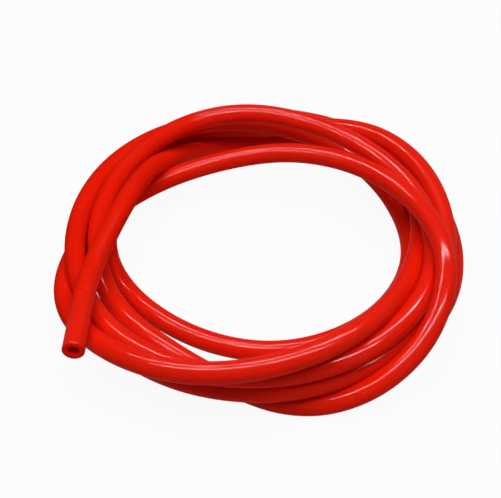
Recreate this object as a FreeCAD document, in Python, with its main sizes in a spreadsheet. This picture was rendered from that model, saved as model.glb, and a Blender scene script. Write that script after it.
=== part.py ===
import FreeCAD, Part

import math
import os

# A loose coil of plain round hose, in millimetres.
# The origin is under the middle of the coil, on the surface that it lies on, +Z is up,
# and the end that shows lies on the -X side, towards -Y.

# The sizes that drive the model: the hose, the least air between two of its strands,
# its straight ends and how deep the strands that lie lowest are pressed flat.
SIZES = (
    ("HoseOuter", 10.0),
    ("HoseBore", 5.0),
    ("StrandClearance", 0.42),
    ("EndRun", 10.0),
    ("BaseFlat", 0.5),
)

# The coil as it lies, one row for each turn, clockwise seen from above from the end
# that shows. Reach is the turn's mean radius, the shifts move its middle right and
# back, and stretch and skew make it oval. The rises are the height of the hose's middle
# over the lowest strands at the front, left, back and right, and the climbs are how
# steeply it gains height there, per quarter of a turn. All are in millimetres, for a
# pitch of 10.42 from strand to strand, and the coil grows or shrinks with the hose.
DRAWN_PITCH = 10.42
TURNS = (
    (119.5, 31.0, -10.0, 29.5, 21.5, (35.0, 34.0, 0.0, 18.0), (-32.0, 19.0, 0.0, 18.5)),
    (85.0, -8.0, -10.5, 0.0, 6.0, (33.5, 12.0, 19.5, 34.5), (-11.0, -5.5, 32.5, 5.5)),
    (81.0, 12.0, -11.5, -4.0, -8.0, (0.5, 16.5, 32.0, 24.0), (11.5, 41.5, -18.0, -4.5)),
    (94.0, 0.0, 4.5, 2.5, 0.5, (22.5, 23.0, 21.5, 2.5), (0.0, 6.5, -15.0, 13.0)),
    (74.5, 6.5, 12.0, -3.5, -1.0, (0.0, 1.5, 17.0, 15.5), (2.0, -20.5, -15.5, -21.0)),
    (105.0, 4.5, 19.0, 3.5, 0.0, (12.0, 0.5, 0.0, 0.0), (0.5, 8.5, 0.0, 0.0)),
    (90.0, 19.0, 23.5, 4.0, -5.0, (0.0,), (0.0,)),
)
FIRST_TURN = 0.157
LAST_TURN = 5.915

# How many points of each arc are measured for the least gap between strands.
POINTS_PER_ARC = 16


def blend(before, start, end, after, share):
    """Returns the value a share along from start to end, smoothly through all four."""
    rest = 1 - share
    return (
        start * (1 + 2 * share) * rest * rest
        + (end - before) / 2 * share * rest * rest
        + end * share * share * (3 - 2 * share)
        - (after - start) / 2 * share * share * rest
    )


def arc(start, heading, end):
    """Returns the arc that leaves start along heading and ends at end."""
    chord = end - start
    bulge = heading.getAngle(chord) / 2
    across = (chord.normalize() * heading.dot(chord) - heading).normalize()
    middle = (start + end) / 2 - across * math.tan(bulge) * start.distanceToPoint(end) / 2
    return Part.Arc(start, middle, end)


def two_arcs(start, start_heading, end, end_heading):
    """Returns two arcs, tangent to each other, from one point and heading to another."""
    chord = end - start
    lean = chord.dot(start_heading + end_heading)
    spread = 2 * (1 - start_heading.dot(end_heading))
    reach = (math.sqrt(lean * lean + spread * chord.dot(chord)) - lean) / spread
    middle = (start + start_heading * reach + end - end_heading * reach) / 2
    into_middle = middle - (start + start_heading * reach)
    return [arc(start, start_heading, middle), arc(middle, into_middle.normalize(), end)]


class CoilRoute:
    """The middle line of the hose: arcs through a station each quarter of a turn."""

    def __init__(self, pitch, end_run, lowest):
        self.scale = pitch / DRAWN_PITCH
        self.end_run = end_run
        self.lowest = lowest
        self.rises = [rise for row in TURNS for rise in row[5]]
        self.climbs = [climb for row in TURNS for climb in row[6]]
        self.per_turn = len(TURNS[0][5])

    def turn_shape(self, turn):
        """Returns reach, shift right, shift back, stretch and skew at a turn."""
        shapes = [row[:5] for row in TURNS]
        whole = min(int(turn), len(shapes) - 2)
        start, end = shapes[whole], shapes[whole + 1]
        before = [2 * a - b for a, b in zip(start, end)]
        after = [2 * b - a for a, b in zip(start, end)]
        if whole > 0:
            before = shapes[whole - 1]
        if whole + 2 < len(shapes):
            after = shapes[whole + 2]
        return [blend(*values, turn - whole) for values in zip(before, start, end, after)]

    def plan_point(self, turn):
        """Returns the point of the route at a turn, seen from above."""
        reach, right, back, stretch, skew = self.turn_shape(turn)
        angle = 2 * math.pi * turn
        radius = reach + stretch * math.cos(2 * angle) + skew * math.sin(2 * angle)
        across = right - radius * math.sin(angle)
        along = back - radius * math.cos(angle)
        return FreeCAD.Vector(across, along, 0) * self.scale

    def station(self, number):
        """Returns the point and the heading of one station, from the end that shows."""
        turn = min(max(number / self.per_turn, FIRST_TURN), LAST_TURN)
        nudge = 0.001
        point = self.plan_point(turn)
        step = self.plan_point(turn + nudge) - self.plan_point(turn - nudge)
        point.z = self.lowest + self.rises[number] * self.scale
        step.z = 2 * nudge * self.per_turn * self.climbs[number] * self.scale
        return point, step.normalize()

    def pieces(self):
        """Returns the two straight ends and, between them, the arcs in order."""
        stations = [self.station(number) for number in range(len(self.rises))]
        point, heading = stations[0]
        pieces = [Part.LineSegment(point - heading * self.end_run, point)]
        for start, end in zip(stations, stations[1:]):
            pieces += two_arcs(*start, *end)
        point, heading = stations[-1]
        pieces.append(Part.LineSegment(point, point + heading * self.end_run))
        return pieces


def measured_points(edges):
    """Returns points along the route and how far along the hose each of them lies."""
    points, places = [], []
    gone = 0.0
    for edge in edges:
        for number in range(POINTS_PER_ARC):
            share = number / POINTS_PER_ARC
            points.append(edge.valueAt(edge.getParameterByLength(share * edge.Length)))
            places.append(gone + share * edge.Length)
        gone += edge.Length
    return points, places


def least_distance(points, places, span):
    """Returns the least distance between strands and where on the hose it is.

    Two points are on different strands if they lie a span or more apart along the hose.
    """
    least = (math.inf, 0.0, 0.0)
    for first, point in enumerate(points):
        for second in range(first + 1, len(points) - 1):
            if places[second] - places[first] < span:
                continue
            start = points[second]
            step = points[second + 1] - start
            share = min(max((point - start).dot(step) / step.dot(step), 0), 1)
            distance = point.distanceToPoint(start + step * share)
            least = min(least, (distance, places[first], places[second]))
    return least


def make_sheet(doc):
    """Makes the sheet of sizes, one named cell for each."""
    sheet = doc.addObject("Spreadsheet::Sheet", "Sizes")
    for row, (name, value) in enumerate(SIZES, start=1):
        sheet.set("A%d" % row, name)
        sheet.set("B%d" % row, str(value))
        sheet.setAlias("B%d" % row, name)
    doc.recompute()
    return sheet


def make_route(doc, sheet):
    """Makes the hose's middle line, set over the origin, and prints its measures."""
    pitch = sheet.HoseOuter + sheet.StrandClearance
    lowest = sheet.HoseOuter / 2 - sheet.BaseFlat
    pieces = CoilRoute(pitch, sheet.EndRun, lowest).pieces()
    edges = [piece.toShape() for piece in pieces]
    points, places = measured_points(edges)
    half_turn = places[-1] / (LAST_TURN - FIRST_TURN) / 2
    distance, first, second = least_distance(points, places, half_turn)
    print("least gap %.3f mm, at %.0f and %.0f mm" % (distance - sheet.HoseOuter, first, second))
    radii = [edge.Curve.Radius for edge in edges[1:-1]]
    print("arcs %d, radii %.1f to %.1f mm" % (len(radii), min(radii), max(radii)))
    middle_x = (min(p.x for p in points) + max(p.x for p in points)) / 2
    middle_y = (min(p.y for p in points) + max(p.y for p in points)) / 2
    wire = Part.Wire(edges)
    wire.translate(FreeCAD.Vector(-middle_x, -middle_y, 0))
    route = doc.addObject("Part::Feature", "Route")
    route.Shape = wire
    print("length %.1f mm, lowest middle %.2f mm" % (wire.Length, min(p.z for p in points)))
    return route


def make_tube(doc, route, name, size):
    """Makes a solid round tube of one size along the whole route."""
    ring = doc.addObject("Part::Circle", name + "Ring")
    ring.setExpression("Radius", "Sizes.%s / 2" % size)
    first = route.Shape.OrderedEdges[0]
    turned = FreeCAD.Rotation(FreeCAD.Vector(0, 0, 1), first.tangentAt(first.FirstParameter))
    ring.Placement = FreeCAD.Placement(first.valueAt(first.FirstParameter), turned)
    tube = doc.addObject("Part::Sweep", name)
    tube.Sections = [ring]
    tube.Spine = (route, [])
    tube.Solid = True
    tube.Frenet = False
    tube.Transition = "Transformed"
    return tube


def make_surface(doc):
    """Makes the block of what lies under the coil, with its top at height zero."""
    block = doc.addObject("Part::Box", "Surface")
    block.setExpression("Length", "30 * Sizes.HoseOuter")
    block.setExpression("Width", "30 * Sizes.HoseOuter")
    block.setExpression("Height", "2 * Sizes.HoseOuter")
    block.setExpression("Placement.Base.x", "-15 * Sizes.HoseOuter")
    block.setExpression("Placement.Base.y", "-15 * Sizes.HoseOuter")
    block.setExpression("Placement.Base.z", "-2 * Sizes.HoseOuter")
    return block


def cut(doc, name, base, tool):
    """Makes the base less the tool."""
    result = doc.addObject("Part::Cut", name)
    result.Base = base
    result.Tool = tool
    return result


def check(doc, part):
    """Raises an error where an object failed or the part's solid isn't sound."""
    for item in doc.Objects:
        if "Invalid" in item.State or "Error" in item.State:
            raise RuntimeError(item.Name + " failed")
    if part.Shape.isNull() or not part.Shape.isValid():
        raise RuntimeError(part.Label + " isn't a sound solid")


def main():
    """Builds the coil and writes it out."""
    os.makedirs("parts", exist_ok=True)
    doc = FreeCAD.newDocument("HoseCoil")
    sheet = make_sheet(doc)
    route = make_route(doc, sheet)
    outside = make_tube(doc, route, "Outside", "HoseOuter")
    bore = make_tube(doc, route, "Bore", "HoseBore")
    round_hose = cut(doc, "RoundHose", outside, bore)
    hose = cut(doc, "Hose", round_hose, make_surface(doc))
    hose.Label = "hose"
    hose.Placement = FreeCAD.Placement()
    doc.recompute()
    check(doc, hose)

    length = route.Shape.Length
    ring_area = math.pi * (sheet.HoseOuter**2 - sheet.HoseBore**2) / 4
    print("round hose %.0f mm3" % round_hose.Shape.Volume, "of", round(ring_area * length))
    box = hose.Shape.BoundBox
    print("solids %d, faces %d" % (len(hose.Shape.Solids), len(hose.Shape.Faces)))
    print("x %.2f to %.2f" % (box.XMin, box.XMax))
    print("y %.2f to %.2f" % (box.YMin, box.YMax))
    print("z %.2f to %.2f" % (box.ZMin, box.ZMax))
    hose.Shape.exportStep(os.path.join("parts", hose.Label + ".step"))


main()
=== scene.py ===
"""A loose coil of red hose, dressed and lit as photographed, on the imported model's frame."""

import enum
import logging
import math
from dataclasses import dataclass
from typing import Any, Iterator, Sequence, Union

import bpy
from mathutils import Matrix, Vector


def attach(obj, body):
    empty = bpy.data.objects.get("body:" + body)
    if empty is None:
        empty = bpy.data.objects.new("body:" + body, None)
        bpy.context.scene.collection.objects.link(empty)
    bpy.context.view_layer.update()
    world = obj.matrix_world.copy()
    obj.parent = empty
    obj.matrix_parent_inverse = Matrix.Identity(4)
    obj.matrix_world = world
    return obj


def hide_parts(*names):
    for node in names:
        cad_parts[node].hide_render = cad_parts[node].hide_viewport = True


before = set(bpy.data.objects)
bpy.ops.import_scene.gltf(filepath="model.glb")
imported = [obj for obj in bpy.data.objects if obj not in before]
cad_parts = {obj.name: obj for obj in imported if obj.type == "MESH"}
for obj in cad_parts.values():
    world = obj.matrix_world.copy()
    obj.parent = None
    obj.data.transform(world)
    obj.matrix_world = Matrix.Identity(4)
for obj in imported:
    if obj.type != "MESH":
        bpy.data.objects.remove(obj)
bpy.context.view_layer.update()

log = logging.getLogger("hose_coil")

PHOTO_SIZE = (501, 498)
MM = 0.001

# How a cut edge is rounded: how far in from the end and how much is taken off there, as
# shares of the lip.
ROUNDING = ((0.0, 1.0), (0.13, 0.5), (0.5, 0.13), (1.0, 0.0))

Face = tuple[int, ...]
Corners = tuple[tuple[float, float], ...]
Colour = tuple[float, float, float, float]
Number = Union["Level", float]


@dataclass(frozen=True)
class HoseSize:
    """The hose's own sizes, in metres.

    Args:
        outer: Outside diameter.
        bore: Inside diameter.
        lip: How far the cut edges are rounded off.
        base_flat: How deep the lowest strands are pressed flat.
        end_run: Length of each straight end.
        sides: Number of faces round the hose.
        crease: Angle past which an edge is sharp, in degrees.
    """

    outer: float = 10 * MM
    bore: float = 5 * MM
    lip: float = 0.35 * MM
    base_flat: float = 0.5 * MM
    end_run: float = 10 * MM
    sides: int = 32
    crease: float = 40.0


@dataclass(frozen=True)
class Turn:
    """One turn of the coil as it lies, clockwise from above, in millimetres.

    Args:
        reach: Mean radius of the turn.
        right: How far its middle lies to the right.
        back: How far its middle lies to the back.
        stretch: How much wider it is from front to back than from side to side.
        skew: The same along the diagonal.
        rises: Heights over the lowest strands at the front, left, back and right.
        climbs: How steeply it gains height there, per quarter of a turn.
        outs: How far the hose is moved outwards at each eighth of the turn, to lie as
            photographed.
        lifts: How far it is moved up there.
    """

    reach: float
    right: float
    back: float
    stretch: float
    skew: float
    rises: tuple[float, ...]
    climbs: tuple[float, ...]
    outs: tuple[float, ...] = (0.0,) * 8
    lifts: tuple[float, ...] = (0.0,) * 8

    def shape(self) -> tuple[float, ...]:
        """Returns the five sizes that shape the turn seen from above."""
        return (self.reach, self.right, self.back, self.stretch, self.skew)


TURNS = (
    Turn(
        119.5, 31.0, -10.0, 29.5, 21.5,
        rises=(35.0, 34.0, 0.0, 18.0),
        climbs=(-32.0, 19.0, 0.0, 18.5),
        outs=(16.0, 1.0, -1.0, -0.5, -5.0, -0.5, -0.5, 2.0),
        lifts=(8.0, 0.0, 2.0, 4.5, 0.0, 2.0, -0.5, 1.5),
    ),
    Turn(
        85.0, -8.0, -10.5, 0.0, 6.0,
        rises=(33.5, 12.0, 19.5, 34.5),
        climbs=(-11.0, -5.5, 32.5, 5.5),
        outs=(2.5, 0.5, 0.5, -4.5, -4.5, -3.0, -2.0, 1.0),
        lifts=(1.0, 3.0, -1.5, 2.5, 4.0, 3.5, 1.5, 0.0),
    ),
    Turn(
        81.0, 12.0, -11.5, -4.0, -8.0,
        rises=(0.5, 16.5, 32.0, 24.0),
        climbs=(11.5, 41.5, -18.0, -4.5),
        outs=(0.0, 1.5, 1.0, -1.5, -3.5, -9.5, -3.0, -0.5),
        lifts=(0.5, 6.5, -2.0, -0.5, 3.5, 7.5, 1.5, 0.0),
    ),
    Turn(
        94.0, 0.0, 4.5, 2.5, 0.5,
        rises=(22.5, 23.0, 21.5, 2.5),
        climbs=(0.0, 6.5, -15.0, 13.0),
        outs=(-0.5, -0.5, 0.0, 1.0, 0.0, 2.5, -1.0, -1.0),
        lifts=(0.5, -2.0, -2.0, -2.5, -1.0, 1.0, 2.5, 1.5),
    ),
    Turn(
        74.5, 6.5, 12.0, -3.5, -1.0,
        rises=(0.0, 1.5, 17.0, 15.5),
        climbs=(2.0, -20.5, -15.5, -21.0),
        outs=(-0.5, -2.5, -0.5, 1.5, -5.5, -3.0, -1.5, 0.5),
        lifts=(0.5, -1.5, 0.0, 1.5, -6.5, 3.5, 1.5, 1.0),
    ),
    Turn(
        105.0, 4.5, 19.0, 3.5, 0.0,
        rises=(12.0, 0.5, 0.0, 0.0),
        climbs=(0.5, 8.5, 0.0, 0.0),
        outs=(2.0, -1.0, -3.0, -2.5, -2.0, -1.0, 0.0, 0.0),
        lifts=(0.5, -0.5, 0.0, 1.0, 0.5, 1.5, 1.0, 1.5),
    ),
    Turn(
        90.0, 19.0, 23.5, 4.0, -5.0,
        rises=(0.0,),
        climbs=(0.0,),
        outs=(0.0,),
        lifts=(1.0,),
    ),
)


@dataclass
class CoilRoute:
    """The line that the hose's middle follows, as one smooth spline.

    Args:
        size: The hose's own sizes.
        turns: The turns of the coil, the one with the end in view first.
        first: Where the bends start, in turns.
        last: Where they end.
        points_per_turn: Control points on each turn.
        moved: How far the whole coil is moved to lie over the origin, in millimetres.
        drawn_in: How far the coil is drawn in, so that its strands touch.
        steps: How many points are read from the spline for each control point.
    """

    size: HoseSize
    turns: tuple[Turn, ...] = TURNS
    first: float = 0.157
    last: float = 5.915
    points_per_turn: int = 24
    moved: tuple[float, float] = (-6.315, -15.197)
    drawn_in: float = 0.975
    steps: int = 8

    def shape_at(self, turn: float) -> list[float]:
        """Blends the shapes of the turns smoothly into each other.

        Args:
            turn: Place on the route, in turns.

        Returns:
            Reach, right, back, stretch and skew there.
        """
        return [through(sizes, turn) for sizes in zip(*(row.shape() for row in self.turns))]

    def height_at(self, turn: float) -> float:
        """Finds the height of the hose's middle, before the given moves.

        Args:
            turn: Place on the route, in turns.

        Returns:
            The height over the lowest strands, in millimetres.
        """
        rises = [rise for row in self.turns for rise in row.rises]
        climbs = [climb for row in self.turns for climb in row.climbs]
        per_turn = len(self.turns[0].rises)
        places = [min(max(k / per_turn, self.first), self.last) for k in range(len(rises))]
        here = min(max(int(turn * per_turn), 0), len(rises) - 2)
        width = places[here + 1] - places[here]
        share = (turn - places[here]) / width
        slope = width * per_turn
        return hermite(
            rises[here], climbs[here] * slope, rises[here + 1], climbs[here + 1] * slope, share
        )

    def moved_at(self, turn: float) -> tuple[float, float]:
        """Finds how far the hose is moved.

        Args:
            turn: Place on the route, in turns.

        Returns:
            How far outwards and how far up, in millimetres.
        """
        outs = [out for row in self.turns for out in row.outs]
        lifts = [lift for row in self.turns for lift in row.lifts]
        place = turn * len(self.turns[0].outs)
        return through(outs, place), through(lifts, place)

    def place_at(self, turn: float) -> Vector:
        """Finds a point of the hose's middle.

        Args:
            turn: Place on the route, in turns.

        Returns:
            The point, in metres.
        """
        reach, right, back, stretch, skew = self.shape_at(turn)
        angle = math.tau * turn
        out, lift = self.moved_at(turn)
        radius = reach + stretch * math.cos(2 * angle) + skew * math.sin(2 * angle) + out
        across = right - radius * math.sin(angle) + self.moved[0]
        along = back - radius * math.cos(angle) + self.moved[1]
        rise = self.height_at(turn) + lift
        lowest = self.size.outer / 2 - self.size.base_flat
        return Vector((across, along, rise)) * MM * self.drawn_in + Vector((0, 0, lowest))

    def control_points(self) -> list[Vector]:
        """Works out the spline's control points.

        Each point stands a little outside the route, so that the spline, which cuts
        inside its points, lies on the route itself.

        Returns:
            The points, from the end in view to the hidden one.
        """
        count = round((self.last - self.first) * self.points_per_turn)
        step = (self.last - self.first) / count
        places = [self.place_at(self.first + k * step) for k in range(count + 1)]
        head = (places[0] - places[1]).normalized() * self.size.end_run
        tail = (places[-1] - places[-2]).normalized() * self.size.end_run
        line = [places[0] + head, *places, places[-1] + tail]
        inner = [
            here + (2 * here - before - after) / 8
            for before, here, after in zip(line, line[1:], line[2:])
        ]
        return [line[0], *inner, line[-1]]

    def spline_points(self) -> list[Vector]:
        """Lays the route as a NURBS spline and reads its points.

        Returns:
            The points, from the end in view to the hidden one.
        """
        data = bpy.data.curves.new("hose_route", "CURVE")
        data.dimensions = "3D"
        data.resolution_u = self.steps
        points = self.control_points()
        spline = data.splines.new("NURBS")
        spline.points.add(len(points) - 1)
        for knot, place in zip(spline.points, points):
            knot.co = (*place, 1.0)
        spline.order_u = 3
        spline.use_endpoint_u = True
        spline.resolution_u = self.steps
        guide = bpy.data.objects.new("hose_route", data)
        bpy.context.scene.collection.objects.link(guide)
        bpy.context.view_layer.update()
        line = bpy.data.meshes.new_from_object(guide)
        read = [vertex.co.copy() for vertex in line.vertices]
        bpy.data.objects.remove(guide)
        bpy.data.meshes.remove(line)
        return read


def through(values: Sequence[float], place: float) -> float:
    """Reads a smooth line through evenly spaced values.

    Args:
        values: The values at 0, 1, 2 and so on.
        place: Where to read the line.

    Returns:
        The value there.
    """
    here = min(max(int(place), 0), len(values) - 2)
    start, end = values[here], values[here + 1]
    before = values[here - 1] if here else 2 * start - end
    after = values[here + 2] if here + 2 < len(values) else 2 * end - start
    return hermite(start, (end - before) / 2, end, (after - start) / 2, place - here)


def hermite(start: float, leave: float, end: float, arrive: float, share: float) -> float:
    """Reads the cubic that has these ends and slopes.

    Args:
        start: Value at the start.
        leave: Slope at the start.
        end: Value at the end.
        arrive: Slope at the end.
        share: Where to read it, from 0 at the start to 1 at the end.

    Returns:
        The value there.
    """
    rest = 1 - share
    return (
        start * (1 + 2 * share) * rest * rest
        + leave * share * rest * rest
        + end * share * share * (3 - 2 * share)
        - arrive * share * share * rest
    )


class Level:
    """A shader socket that can be written in sums and products."""

    def __init__(self, sheet: "NodeSheet", socket: bpy.types.NodeSocket) -> None:
        """Keeps the sheet that the node is on and the node's output."""
        self.sheet = sheet
        self.socket = socket

    def _maths(self, operation: str, first: Number, second: Number) -> "Level":
        """Returns the result of a Math node with these two values."""
        return self.sheet.add("ShaderNodeMath", {"operation": operation}, {0: first, 1: second})

    def __add__(self, other: Number) -> "Level":
        """Returns this plus the other."""
        return self._maths("ADD", self, other)

    def __radd__(self, other: Number) -> "Level":
        """Returns the other plus this."""
        return self._maths("ADD", other, self)

    def __sub__(self, other: Number) -> "Level":
        """Returns this less the other."""
        return self._maths("SUBTRACT", self, other)

    def __rsub__(self, other: Number) -> "Level":
        """Returns the other less this."""
        return self._maths("SUBTRACT", other, self)

    def __mul__(self, other: Number) -> "Level":
        """Returns this times the other."""
        return self._maths("MULTIPLY", self, other)

    def __rmul__(self, other: Number) -> "Level":
        """Returns the other times this."""
        return self._maths("MULTIPLY", other, self)

    def __or__(self, other: Number) -> "Level":
        """Returns the larger of this and the other."""
        return self._maths("MAXIMUM", self, other)

    def __ror__(self, other: Number) -> "Level":
        """Returns the larger of the other and this."""
        return self._maths("MAXIMUM", other, self)


@dataclass
class NodeSheet:
    """The nodes of one material or world.

    Args:
        tree: The node tree to fill, which is emptied first.
    """

    tree: bpy.types.NodeTree

    def __post_init__(self) -> None:
        """Clears the tree."""
        self.tree.nodes.clear()

    def add(
        self,
        kind: str,
        settings: dict[str, Any] | None = None,
        sockets: dict[int | str, Any] | None = None,
        out: int | str = 0,
    ) -> Level:
        """Adds a node.

        Args:
            kind: The node's type.
            settings: Its settings, set before its sockets. "stops" are a ramp's stops.
            sockets: Values or links for its inputs, by name or number.
            out: The output to return.

        Returns:
            The chosen output.
        """
        node = self.tree.nodes.new(kind)
        for name, value in (settings or {}).items():
            if name == "stops":
                self._set_stops(node, value)
            else:
                setattr(node, name, value)
        for name, value in (sockets or {}).items():
            if isinstance(value, Level):
                self.tree.links.new(value.socket, node.inputs[name])
            else:
                node.inputs[name].default_value = value
        socket = node.outputs[out] if node.outputs else None
        return Level(self, socket)

    @staticmethod
    def _set_stops(node: bpy.types.Node, stops: list[tuple[float, float]]) -> None:
        """Sets a ramp's grey stops.

        Args:
            node: The ramp.
            stops: Place and level of each stop.
        """
        ramp = node.color_ramp
        while len(ramp.elements) < len(stops):
            ramp.elements.new(1.0)
        for element, (place, level) in zip(ramp.elements, stops):
            element.position = place
            element.color = (level, level, level, 1.0)

    def tint(self, share: Number, first: Any, second: Any) -> Level:
        """Mixes two colours.

        Args:
            share: How much of the second colour, from 0 to 1.
            first: The first colour or a link.
            second: The second colour or a link.

        Returns:
            The mixed colour.
        """
        settings = {"data_type": "RGBA", "clamp_factor": True}
        return self.add("ShaderNodeMix", settings, {0: share, 6: first, 7: second}, out=2)


def srgb(red: int, green: int, blue: int) -> Colour:
    """Turns a colour of the screen into one for a shader.

    Args:
        red: Its red, from 0 to 255.
        green: Its green.
        blue: Its blue.

    Returns:
        The colour in linear light, with an alpha of 1.
    """

    def linear(level: int) -> float:
        """Returns one channel in linear light."""
        share = level / 255
        return share / 12.92 if share <= 0.04045 else ((share + 0.055) / 1.055) ** 2.4

    return (linear(red), linear(green), linear(blue), 1.0)


@dataclass(frozen=True)
class RedSilicone:
    """The hose's glossy red silicone, a little cloudy, with dust on its skin.

    Args:
        bright: Colour where the wall is clear.
        deep: Colour where it is cloudy.
        bore: Colour of the inside.
        cut: Colour of the cut faces.
        dust: Colour of the specks on the skin.
        cloud_cells: How many cells of cloudiness there are to a metre.
        grain_cells: How many grains there are to a metre of skin.
        speck_cells: How many places for a speck of dust there are to a metre.
        patch_cells: How many patches of dust there are to a metre.
        lines: How fine the lines of the die are, round the hose, along it and inwards.
        roughness: Roughness of the body under the skin's gloss.
        index: Index of refraction of the body.
        gloss: Weight of the skin's clear gloss.
        gloss_roughness: Roughness of that gloss.
        gloss_index: Index of refraction of that gloss.
        matt_gloss: The least share of the gloss that is left on the matt turns.
        shiny_way: The way in which the skin grows from matt to glossy.
        matt_end: How far that way the matt part ends, in metres.
        matt_fade: Over how many metres it fades into gloss.
        depth: How much of the light goes into the wall and comes out again.
        reach: How far it goes, in metres.
        reach_shares: How much of that way red, green and blue light go.
        relief: Height of the skin's unevenness, in metres.
        relief_share: How much of that height is seen.
    """

    bright: Colour = srgb(236, 32, 9)
    deep: Colour = srgb(226, 24, 6)
    bore: Colour = srgb(240, 20, 8)
    cut: Colour = srgb(240, 30, 14)
    dust: Colour = srgb(255, 120, 100)
    cloud_cells: float = 45.0
    grain_cells: float = 900.0
    speck_cells: float = 260.0
    patch_cells: float = 60.0
    lines: tuple[float, float, float] = (60.0, 6.0, 1.0)
    roughness: float = 0.4
    index: float = 1.42
    gloss: float = 0.1
    gloss_roughness: float = 0.12
    gloss_index: float = 1.35
    matt_gloss: float = 0.03
    shiny_way: tuple[float, float, float] = (0.9, -0.35, -0.3)
    matt_end: float = -64.5 * MM
    matt_fade: float = 20 * MM / 3
    depth: float = 0.2
    reach: float = 2 * MM
    reach_shares: tuple[float, float, float] = (1.0, 0.1, 0.05)
    relief: float = 0.2 * MM
    relief_share: float = 0.015

    def material(self) -> bpy.types.Material:
        """Builds the material.

        Returns:
            The material, for a mesh that has the attributes "inside" and "cut_face".
        """
        made = bpy.data.materials.new("red_silicone")
        made.use_nodes = True
        sheet = NodeSheet(made.node_tree)
        place = sheet.add("ShaderNodeTexCoord", out="Object")
        cloud = self._noise(sheet, place, self.cloud_cells, detail=3.0)
        grain = self._noise(sheet, place, self.grain_cells, detail=2.0)
        colour = sheet.tint(cloud, self.deep, self.bright)
        colour = sheet.tint(self._dust(sheet, place), colour, self.dust)
        inside = sheet.add("ShaderNodeAttribute", {"attribute_name": "inside"}, out="Fac")
        cut = sheet.add("ShaderNodeAttribute", {"attribute_name": "cut_face"}, out="Fac")
        colour = sheet.tint(inside, colour, self.bore)
        colour = sheet.tint(cut, colour, self.cut)
        height = grain * 0.4 + self._draw_lines(sheet) * 0.6
        bump = sheet.add(
            "ShaderNodeBump",
            None,
            {"Strength": self.relief_share, "Distance": self.relief, "Height": height},
        )
        surface = sheet.add(
            "ShaderNodeBsdfPrincipled",
            {"subsurface_method": "RANDOM_WALK"},
            {
                "Base Color": colour,
                "Roughness": self.roughness + (cloud - 0.5) * 0.16 + cut * 0.2,
                "IOR": self.index,
                "Specular IOR Level": 0.0,
                "Subsurface Weight": self.depth,
                "Subsurface Radius": self.reach_shares,
                "Subsurface Scale": self.reach,
                "Coat Weight": (1 - (inside | cut)) * self._polish(sheet, place) * self.gloss,
                "Coat Roughness": self.gloss_roughness,
                "Coat IOR": self.gloss_index,
                "Normal": bump,
            },
        )
        sheet.add("ShaderNodeOutputMaterial", None, {"Surface": surface})
        return made

    @staticmethod
    def _noise(sheet: NodeSheet, place: Level, cells: float, detail: float) -> Level:
        """Returns smooth noise with so many cells to a metre, from 0 to 1."""
        sockets = {"Vector": place, "Scale": cells, "Detail": detail, "Roughness": 0.55}
        return sheet.add("ShaderNodeTexNoise", None, sockets)

    def _dust(self, sheet: NodeSheet, place: Level) -> Level:
        """Lays specks of dust in patches.

        Args:
            sheet: The material's nodes.
            place: Where on the hose each point lies.

        Returns:
            How much dust lies there, from 0 to 0.5.
        """
        cells = {"Vector": place, "Scale": self.speck_cells}
        far = sheet.add("ShaderNodeTexVoronoi", None, cells)
        cells = {"Vector": place, "Scale": self.patch_cells}
        few = sheet.add("ShaderNodeTexNoise", None, cells)
        near = {"stops": [(0.06, 1.0), (0.1, 0.0)]}
        speck = sheet.add("ShaderNodeValToRGB", near, {"Fac": far})
        some = {"stops": [(0.5, 0.0), (0.62, 0.5)]}
        patch = sheet.add("ShaderNodeValToRGB", some, {"Fac": few})
        return speck * patch

    def _polish(self, sheet: NodeSheet, place: Level) -> Level:
        """Fades the skin's polish towards the turns that lie back left.

        Args:
            sheet: The material's nodes.
            place: Where on the hose each point lies.

        Returns:
            The share of the gloss there, from nearly none to 1.
        """
        far = sheet.add(
            "ShaderNodeVectorMath",
            {"operation": "DOT_PRODUCT"},
            {0: place, 1: self.shiny_way},
            out="Value",
        )
        share = (far - self.matt_end) * (1 / self.matt_fade)
        ramp = {"stops": [(0.0, self.matt_gloss), (1.0, 1.0)]}
        return sheet.add("ShaderNodeValToRGB", ramp, {"Fac": share})

    def _draw_lines(self, sheet: NodeSheet) -> Level:
        """Draws the faint lines that the die leaves along the hose.

        Args:
            sheet: The material's nodes.

        Returns:
            Their height, from 0 to 1.
        """
        along = sheet.add("ShaderNodeUVMap", {"uv_map": "hose"})
        stretch = sheet.add("ShaderNodeMapping", None, {"Vector": along, "Scale": self.lines})
        return sheet.add("ShaderNodeTexNoise", None, {"Vector": stretch, "Scale": 1.0})


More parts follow.
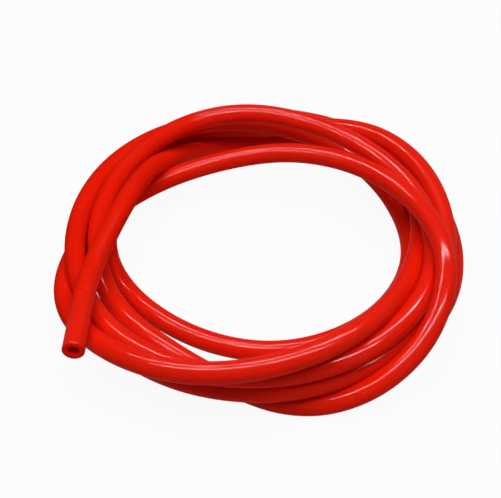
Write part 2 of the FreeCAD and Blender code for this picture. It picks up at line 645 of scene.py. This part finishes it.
@dataclass
class Hose:
    """The one length of hose: its tube, its cut ends and its finish.

    Args:
        size: Its own sizes.
        route: The route that it lies on.
        finish: What it is made of.
    """

    size: HoseSize
    route: CoilRoute
    finish: RedSilicone = RedSilicone()

    def build(self) -> bpy.types.Object:
        """Makes the hose, dresses it and says where it belongs.

        Returns:
            The hose's mesh object.
        """
        line = self.route.spline_points()
        path = list(self._stations(line))
        piece = self._tube(path)
        piece.data.materials.append(self.finish.material())
        length = sum((b - a).length for a, b in zip(line, line[1:]))
        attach(piece, "root")
        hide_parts("hose")
        tuple(line[-1])
        [tuple(point) for point in line]
        log.info("hose %.3f m long, %d rings, exit %s", length, len(path), tuple(line[-1]))
        return piece

    def _stations(self, line: list[Vector]) -> Iterator[tuple[Vector, float]]:
        """Finds where the tube's rings stand.

        Args:
            line: The points of the hose's middle, from end to end.

        Yields:
            Each ring's middle and what the cut edge takes off there.
        """
        lip = self.size.lip
        head = (line[1] - line[0]).normalized()
        tail = (line[-2] - line[-1]).normalized()
        for gone, taken in ROUNDING:
            yield line[0] + head * (gone * lip), taken * lip
        for point in line[1:-1]:
            yield point, 0.0
        for gone, taken in reversed(ROUNDING):
            yield line[-1] + tail * (gone * lip), taken * lip

    def _tube(self, path: list[tuple[Vector, float]]) -> bpy.types.Object:
        """Builds the tube as rings of the skin, then rings of the bore.

        Args:
            path: Each ring's middle and what the cut edge takes off there.

        Returns:
            The finished mesh object.
        """
        middles = [middle for middle, _ in path]
        bands = list(self._bands(middles))
        mesh = bpy.data.meshes.new("hose_tube")
        mesh.from_pydata(list(self._points(path)), [], [face for face, _ in bands])
        layer = mesh.uv_layers.new(name="hose")
        layer.data.foreach_set("uv", [value for _, uvs in bands for pair in uvs for value in pair])
        skin = len(path) * self.size.sides
        inside = mesh.attributes.new("inside", "FLOAT", "POINT")
        inside.data.foreach_set("value", [0.0] * skin + [1.0] * skin)
        cut_faces = 2 * self.size.sides
        cut = mesh.attributes.new("cut_face", "FLOAT", "FACE")
        cut.data.foreach_set("value", [0.0] * (len(bands) - cut_faces) + [1.0] * cut_faces)
        mesh.shade_smooth()
        mesh.set_sharp_from_angle(angle=math.radians(self.size.crease))
        mesh.update()
        piece = bpy.data.objects.new("red_hose", mesh)
        bpy.context.scene.collection.objects.link(piece)
        return piece

    def _points(self, path: list[tuple[Vector, float]]) -> Iterator[Vector]:
        """Yields the points of the skin's rings, then those of the bore's.

        Args:
            path: Each ring's middle and what the cut edge takes off there.

        Yields:
            Each point, no lower than the floor.
        """
        sides = self.size.sides
        frames = list(carried_frames([middle for middle, _ in path]))
        for inside in (False, True):
            for (middle, taken), turned in zip(path, frames):
                radius = self.size.bore / 2 + taken if inside else self.size.outer / 2 - taken
                for side in range(sides):
                    angle = math.tau * side / sides
                    flat = Vector((radius * math.cos(angle), radius * math.sin(angle), 0))
                    point = middle + turned @ flat
                    point.z = max(point.z, 0.0)
                    yield point

    def _bands(self, middles: list[Vector]) -> Iterator[tuple[Face, Corners]]:
        """Yields the faces of the skin, the bore and the two cut ends, in that order.

        Args:
            middles: The middle of each ring.

        Yields:
            Each face's points and their places on the UV map.
        """
        sides = self.size.sides
        bore = len(middles) * sides
        gone = [0.0]
        for before, after in zip(middles, middles[1:]):
            gone.append(gone[-1] + (after - before).length)
        for first, flip in ((0, False), (bore, True)):
            for ring in range(len(middles) - 1):
                low = first + ring * sides
                yield from self._band((low, low + sides), (gone[ring], gone[ring + 1]), flip)
        wall = (self.size.outer - self.size.bore) / 2
        for ring, flip in ((0, True), (len(middles) - 1, False)):
            low = ring * sides
            yield from self._band((low, low + bore), (0.0, wall), flip)

    def _band(
        self, rings: tuple[int, int], heights: tuple[float, float], flip: bool
    ) -> Iterator[tuple[Face, Corners]]:
        """Yields the faces between two rings.

        Args:
            rings: The number of the first point of each ring.
            heights: How far up the UV map each ring lies.
            flip: Whether the faces look the other way.

        Yields:
            Each face's points and their places on the UV map.
        """
        sides = self.size.sides
        near, far = rings
        start, end = heights
        for side in range(sides):
            following = (side + 1) % sides
            face = (near + side, near + following, far + following, far + side)
            left, right = side / sides, (side + 1) / sides
            uvs = ((left, start), (right, start), (right, end), (left, end))
            yield (face[::-1], uvs[::-1]) if flip else (face, uvs)


def carried_frames(points: list[Vector]) -> Iterator[Matrix]:
    """Yields a turn for each point that sets Z along the line, with the least twist.

    Args:
        points: The line's points, in order.

    Yields:
        The turn from a flat ring to the ring at each point.
    """
    headings = []
    for number in range(len(points)):
        before = points[max(number - 1, 0)]
        after = points[min(number + 1, len(points) - 1)]
        headings.append((after - before).normalized())
    turned = headings[0].to_track_quat("Z", "Y")
    for last, heading in zip([headings[0], *headings], headings):
        turned = last.rotation_difference(heading) @ turned
        yield turned.to_matrix()


class LampKind(enum.Enum):
    """What a lamp is there for."""

    STREAK = "narrow lamp that draws a streak along the strands"
    SOFT = "wide lamp that lights the whole coil"


@dataclass(frozen=True)
class Lamp:
    """One flat studio lamp.

    Args:
        name: Its name.
        kind: What it is there for.
        place: Where it hangs, in metres.
        width: Its size from side to side.
        depth: Its size the other way.
        watts: Its power.
    """

    name: str
    kind: LampKind
    place: tuple[float, float, float]
    width: float
    depth: float
    watts: float

    def hang(self, aim: Vector) -> bpy.types.Object:
        """Makes the lamp and tips it to the front or back, towards a point.

        Args:
            aim: The point.

        Returns:
            The lamp.
        """
        data = bpy.data.lights.new(self.name, "AREA")
        data.shape = "RECTANGLE"
        data.size = self.width
        data.size_y = self.depth
        data.energy = self.watts
        made = bpy.data.objects.new(self.name, data)
        made.location = self.place
        heading = aim - Vector(self.place)
        heading.x = 0
        made.rotation_euler = heading.to_track_quat("-Z", "Y").to_euler()
        made.visible_glossy = self.kind is LampKind.STREAK
        made.visible_diffuse = self.kind is LampKind.SOFT
        made.visible_camera = False
        bpy.context.scene.collection.objects.link(made)
        return made


@dataclass
class Studio:
    """The white floor, the lamps and the white surroundings.

    Args:
        floor_size: Length of the floor's sides, in metres.
        floor_drop: How far the floor lies under the coil, so that the two don't touch.
        white: Colour of the floor.
        plain: How much of the floor is plain white to the camera, and not lit.
        fill: Strength of the light from all round.
        aim: The point that the lamps are tipped towards, in metres.
        lamps: The lamps.
    """

    floor_size: float = 24.0
    floor_drop: float = 0.2 * MM
    white: Colour = (0.6, 0.6, 0.6, 1.0)
    plain: float = 0.94
    fill: float = 0.1
    aim: tuple[float, float, float] = (0.0, 0.0, 20 * MM)
    lamps: tuple[Lamp, ...] = (
        Lamp("streak_back", LampKind.STREAK, (0.03, 0.23, 0.58), 0.9, 0.04, 28.0),
        Lamp("streak_front", LampKind.STREAK, (0.03, -0.11, 0.58), 0.9, 0.04, 28.0),
        Lamp("softbox", LampKind.SOFT, (0.0, -0.12, 0.95), 1.0, 0.7, 9.4),
    )

    def build(self) -> None:
        """Lays the floor, hangs the lamps and sets the surroundings."""
        self._floor()
        self._surroundings()
        for lamp in self.lamps:
            lamp.hang(Vector(self.aim))
        log.info("studio with %d lamps", len(self.lamps))

    @staticmethod
    def _seen_directly(sheet: NodeSheet) -> Level:
        """Tells what the camera sees, straight or in gloss and glass.

        Args:
            sheet: The nodes of the material or world.

        Returns:
            1 for what it sees so, and 0 for the rest.
        """
        camera = sheet.add("ShaderNodeLightPath", out="Is Camera Ray")
        glossy = sheet.add("ShaderNodeLightPath", out="Is Glossy Ray")
        clear = sheet.add("ShaderNodeLightPath", out="Is Transmission Ray")
        return camera | glossy | clear

    def _floor(self) -> None:
        """Lays the floor."""
        half = self.floor_size / 2
        mesh = bpy.data.meshes.new("floor")
        corners = [(-half, -half), (half, -half), (half, half), (-half, half)]
        mesh.from_pydata([(x, y, -self.floor_drop) for x, y in corners], [], [(0, 1, 2, 3)])
        floor = bpy.data.objects.new("floor", mesh)
        bpy.context.scene.collection.objects.link(floor)
        made = bpy.data.materials.new("white_floor")
        made.use_nodes = True
        sheet = NodeSheet(made.node_tree)
        lit = sheet.add("ShaderNodeBsdfDiffuse", None, {"Color": self.white})
        white = sheet.add("ShaderNodeEmission", None, {"Color": (1, 1, 1, 1), "Strength": 1.0})
        share = self._seen_directly(sheet) * self.plain
        surface = sheet.add("ShaderNodeMixShader", None, {0: share, 1: lit, 2: white})
        sheet.add("ShaderNodeOutputMaterial", None, {"Surface": surface})
        mesh.materials.append(made)

    def _surroundings(self) -> None:
        """Makes the world white to the camera and a plain soft light to the rest."""
        world = bpy.data.worlds.new("white_room")
        bpy.context.scene.world = world
        world.use_nodes = True
        sheet = NodeSheet(world.node_tree)
        seen = self._seen_directly(sheet)
        strength = seen * (1 - self.fill) + self.fill
        surface = sheet.add(
            "ShaderNodeBackground", None, {"Color": (1, 1, 1, 1), "Strength": strength}
        )
        sheet.add("ShaderNodeOutputWorld", None, {"Surface": surface})


@dataclass
class PhotoCamera:
    """The camera that took the photograph.

    Args:
        aim: The point that it looks at, in metres.
        elevation: How far above the horizon it stands, in degrees.
        distance: How far from that point it is, in metres.
        focal_pixels: Its focal length, in pixels of the photograph.
        sensor: Width of its sensor, in millimetres.
        nearest: How near to it a thing is still seen, in metres.
    """

    aim: tuple[float, float, float] = (-6.157 * MM, -14.817 * MM, 15.35 * MM)
    elevation: float = 44.95
    distance: float = 0.5127
    focal_pixels: float = 1029.0
    sensor: float = 36.0
    nearest: float = 10 * MM

    def build(self) -> bpy.types.Object:
        """Sets up the camera.

        Returns:
            The camera.
        """
        data = bpy.data.cameras.new("photo_camera")
        data.sensor_width = self.sensor
        data.lens = self.focal_pixels * self.sensor / max(PHOTO_SIZE)
        data.clip_start = self.nearest
        camera = bpy.data.objects.new("photo_camera", data)
        tilt = math.radians(self.elevation)
        back = Vector((0, -math.cos(tilt), math.sin(tilt)))
        camera.location = Vector(self.aim) + back * self.distance
        camera.rotation_euler = (-back).to_track_quat("-Z", "Y").to_euler()
        bpy.context.scene.collection.objects.link(camera)
        bpy.context.scene.camera = camera
        log.info("camera at %s", tuple(camera.location))
        return camera


def main() -> None:
    """Builds the whole scene, the camera and the hose first."""
    logging.basicConfig(level=logging.INFO, format="%(name)s: %(message)s")
    bpy.context.scene.view_settings.view_transform = "Standard"
    PhotoCamera().build()
    size = HoseSize()
    Hose(size, CoilRoute(size)).build()
    Studio().build()


if __name__ == "__main__":
    main()
